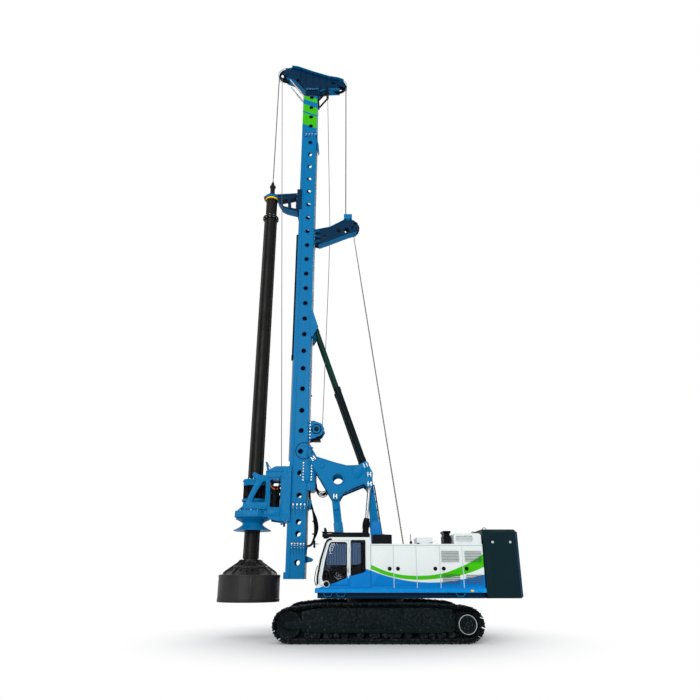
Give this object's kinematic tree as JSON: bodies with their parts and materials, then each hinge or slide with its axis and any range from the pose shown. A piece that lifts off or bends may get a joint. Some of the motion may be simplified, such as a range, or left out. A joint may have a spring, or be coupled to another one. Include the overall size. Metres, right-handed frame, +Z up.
{
  "type": "rotary piling rig",
  "caption": "Crawler-mounted rotary piling rig with a luffing tilting mast, rotary drive, kelly bar and drilling bucket.",
  "frame": {"origin": "on the ground under the middle of the object's box, in the plane of symmetry of the tracks", "axes": "+Z up along the mast, +X to the front, towards the kelly bar, +Y to the cab side"},
  "size_m": [10.4854, 4.9, 26.3],
  "materials": {
    "blue_paint": "gloss mid-blue machine paint",
    "deck_paint": "gloss light blue machine paint",
    "white_paint": "gloss white-grey machine paint",
    "counterweight_paint": "satin dark slate paint on cast blocks",
    "track_steel": "near-black painted and worn cast steel",
    "dark_paint": "satin near-black paint",
    "kelly_steel": "dark bare drill steel",
    "rod_chrome": "polished cylinder rod",
    "tilt_rod_paint": "dark cylinder rod, coated",
    "cab_glass": "tinted safety glass",
    "seat_cloth": "black woven seat cloth",
    "ring_steel": "machined steel",
    "yellow_paint": "yellow paint",
    "green_paint": "bright green paint band",
    "rubber": "black hose and seal rubber",
    "wire_rope": "greased wire rope",
    "lamp_lens": "clear lamp lens",
    "orange_trim": "orange hose sleeve and reflectors",
    "mirror_face": "mirror glass"
  },
  "bodies": {
    "undercarriage": {"carbody": "blue_paint", "slew_ring": "ring_steel", "track_left": "track_steel", "track_right": "track_steel", "track_frame_left": "track_steel", "track_frame_right": "track_steel", "sprocket_left": "track_steel", "sprocket_right": "track_steel"},
    "upperstructure": {"deck": "deck_paint", "engine_house": "white_paint", "counterweight": "counterweight_paint", "cab_shell": "white_paint", "windshield": "cab_glass", "quarter_glass": "cab_glass", "cab_right_glass": "cab_glass", "operator_seat": "seat_cloth", "cab_roof_guard": "dark_paint", "fuel_tank": "white_paint", "engine_block": "dark_paint", "main_winch": "dark_paint", "exhaust_box": "dark_paint", "air_box": "dark_paint"},
    "cab_door": {"cab_door": "white_paint", "door_glass": "cab_glass"},
    "left_door_1": {"left_door_1": "white_paint"},
    "left_door_2": {"left_door_2": "white_paint"},
    "left_door_3": {"left_door_3": "white_paint"},
    "left_door_4": {"left_door_4": "white_paint"},
    "left_door_5": {"left_door_5": "white_paint"},
    "right_door_1": {"right_door_1": "white_paint"},
    "right_door_2": {"right_door_2": "white_paint"},
    "rear_arm": {"rear_arm": "blue_paint"},
    "front_arm": {"front_arm": "blue_paint"},
    "triangle_frame": {"triangle_frame": "blue_paint"},
    "luff_barrels": {"luff_barrels": "blue_paint"},
    "luff_rods": {"luff_rod_left": "rod_chrome", "luff_rod_right": "rod_chrome"},
    "mast_cylinder_barrels": {"mast_cylinder_barrels": "blue_paint"},
    "mast_cylinder_rods": {"mast_cylinder_rod_left": "tilt_rod_paint", "mast_cylinder_rod_right": "tilt_rod_paint"},
    "mast": {"mast_lower": "blue_paint", "mast_middle": "blue_paint", "mast_upper": "blue_paint", "cathead": "blue_paint", "rope_bracket": "blue_paint", "aux_winch": "blue_paint", "crowd_barrel": "dark_paint"},
    "head_sheave_front": {"head_sheave_front": "dark_paint"},
    "head_sheave_rear": {"head_sheave_rear": "dark_paint"},
    "bracket_sheave": {"bracket_sheave": "dark_paint"},
    "aux_winch_drum": {"aux_winch_drum": "dark_paint"},
    "carriage": {"carriage": "blue_paint", "rotary_drive": "blue_paint", "crowd_rod": "rod_chrome"},
    "drive_sleeve": {"drive_sleeve": "blue_paint"},
    "kelly_guide": {"kelly_guide": "blue_paint"},
    "kelly": {"kelly_bar": "kelly_steel", "drill_bucket": "kelly_steel"},
    "bucket_gate": {"bucket_gate": "kelly_steel"}
  },
  "joints": [
    {"name": "slew", "type": "hinge", "parent": "undercarriage", "child": "upperstructure", "pos_m": [-0.38235, 0, 1.28], "axis": [0, 0, 1], "continuous": true},
    {"name": "luff", "type": "hinge", "parent": "upperstructure", "child": "rear_arm", "pos_m": [-0.50935, 0, 2.823], "axis": [0, 1, 0], "range_deg": [-5, 25]},
    {"name": "front_arm_swing", "type": "hinge", "parent": "upperstructure", "child": "front_arm", "pos_m": [0.75465, 0, 2.003], "axis": [0, 1, 0], "range_deg": [-5.2, 25.2]},
    {"name": "triangle_level", "type": "hinge", "parent": "rear_arm", "child": "triangle_frame", "pos_m": [-0.2037, 0, 5.50564], "axis": [0, 1, 0], "range_deg": [-25.2, 5.2]},
    {"name": "luff_cylinder_swing", "type": "hinge", "parent": "upperstructure", "child": "luff_barrels", "pos_m": [0.10465, 0, 1.8], "axis": [0, 1, 0], "range_deg": [-4.3, 20.6]},
    {"name": "luff_cylinder_stroke", "type": "slide", "parent": "luff_barrels", "child": "luff_rods", "axis": [-0.0932, 0, 0.9956], "range_m": [-0.3, 0.07]},
    {"name": "mast_tilt", "type": "hinge", "parent": "triangle_frame", "child": "mast", "pos_m": [1.91265, 0, 6.1], "axis": [0, -1, 0], "range_deg": [-5, 15]},
    {"name": "mast_cylinder_swing", "type": "hinge", "parent": "triangle_frame", "child": "mast_cylinder_barrels", "pos_m": [-0.05035, 0, 5.814], "axis": [0, -1, 0], "range_deg": [-4.6, 13.4]},
    {"name": "mast_cylinder_stroke", "type": "slide", "parent": "mast_cylinder_barrels", "child": "mast_cylinder_rods", "axis": [0.3279, 0, 0.9447], "range_m": [-0.49, 0.17]},
    {"name": "crowd", "type": "slide", "parent": "mast", "child": "carriage", "axis": [0, 0, 1], "range_m": [-0.9, 4]},
    {"name": "hoist", "type": "slide", "parent": "mast", "child": "kelly_guide", "axis": [0, 0, 1], "range_m": [-0.8, 0.9]},
    {"name": "kelly_spin", "type": "hinge", "parent": "kelly_guide", "child": "kelly", "pos_m": [4.13765, 0, 18.15], "axis": [0, 0, 1], "continuous": true},
    {"name": "sleeve_spin", "type": "hinge", "parent": "carriage", "child": "drive_sleeve", "pos_m": [4.13765, 0, 3.95], "axis": [0, 0, 1], "continuous": true},
    {"name": "bucket_gate", "type": "hinge", "parent": "kelly", "child": "bucket_gate", "pos_m": [5.24265, 0, 1.165], "axis": [0, -1, 0], "range_deg": [0, 30]},
    {"name": "cab_door", "type": "hinge", "parent": "upperstructure", "child": "cab_door", "pos_m": [0.55765, 1.62, 2.4], "axis": [0, 0, 1], "range_deg": [0, 95]},
    {"name": "left_door_1", "type": "hinge", "parent": "upperstructure", "child": "left_door_1", "pos_m": [-0.21035, 1.65, 2.3], "axis": [0, 0, -1], "range_deg": [0, 85]},
    {"name": "left_door_2", "type": "hinge", "parent": "upperstructure", "child": "left_door_2", "pos_m": [-1.71835, 1.65, 2.3], "axis": [0, 0, 1], "range_deg": [0, 85]},
    {"name": "left_door_3", "type": "hinge", "parent": "upperstructure", "child": "left_door_3", "pos_m": [-1.72435, 1.65, 2.3], "axis": [0, 0, -1], "range_deg": [0, 85]},
    {"name": "left_door_4", "type": "hinge", "parent": "upperstructure", "child": "left_door_4", "pos_m": [-3.27835, 1.65, 2.3], "axis": [0, 0, 1], "range_deg": [0, 85]},
    {"name": "left_door_5", "type": "hinge", "parent": "upperstructure", "child": "left_door_5", "pos_m": [-3.96835, 1.65, 2.3], "axis": [0, 0, 1], "range_deg": [0, 85]},
    {"name": "right_door_1", "type": "hinge", "parent": "upperstructure", "child": "right_door_1", "pos_m": [-1.71835, -1.65, 2.3], "axis": [0, 0, -1], "range_deg": [0, 85]},
    {"name": "right_door_2", "type": "hinge", "parent": "upperstructure", "child": "right_door_2", "pos_m": [-1.72435, -1.65, 2.3], "axis": [0, 0, 1], "range_deg": [0, 85]},
    {"name": "head_sheave_front", "type": "hinge", "parent": "mast", "child": "head_sheave_front", "pos_m": [3.71765, 0, 25.83], "axis": [0, 1, 0], "continuous": true},
    {"name": "head_sheave_rear", "type": "hinge", "parent": "mast", "child": "head_sheave_rear", "pos_m": [1.10765, 0, 25.1], "axis": [0, 1, 0], "continuous": true},
    {"name": "bracket_sheave", "type": "hinge", "parent": "mast", "child": "bracket_sheave", "pos_m": [0.40765, 0, 16.67], "axis": [0, 1, 0], "continuous": true},
    {"name": "aux_winch", "type": "hinge", "parent": "mast", "child": "aux_winch_drum", "pos_m": [1.82565, 0, 7.298], "axis": [0, 1, 0], "continuous": true}
  ],
  "couplings": [
    {"joint": "front_arm_swing", "follows": "luff", "ratio": 1},
    {"joint": "triangle_level", "follows": "luff", "ratio": -1},
    {"joint": "luff_cylinder_swing", "follows": "luff", "ratio": 0.8085},
    {"joint": "luff_cylinder_stroke", "follows": "luff", "m_per_rad": -0.6423},
    {"joint": "mast_cylinder_swing", "follows": "mast_tilt", "ratio": 0.875},
    {"joint": "mast_cylinder_stroke", "follows": "mast_tilt", "m_per_rad": -1.785},
    {"joint": "sleeve_spin", "follows": "kelly_spin", "ratio": 1}
  ]
}
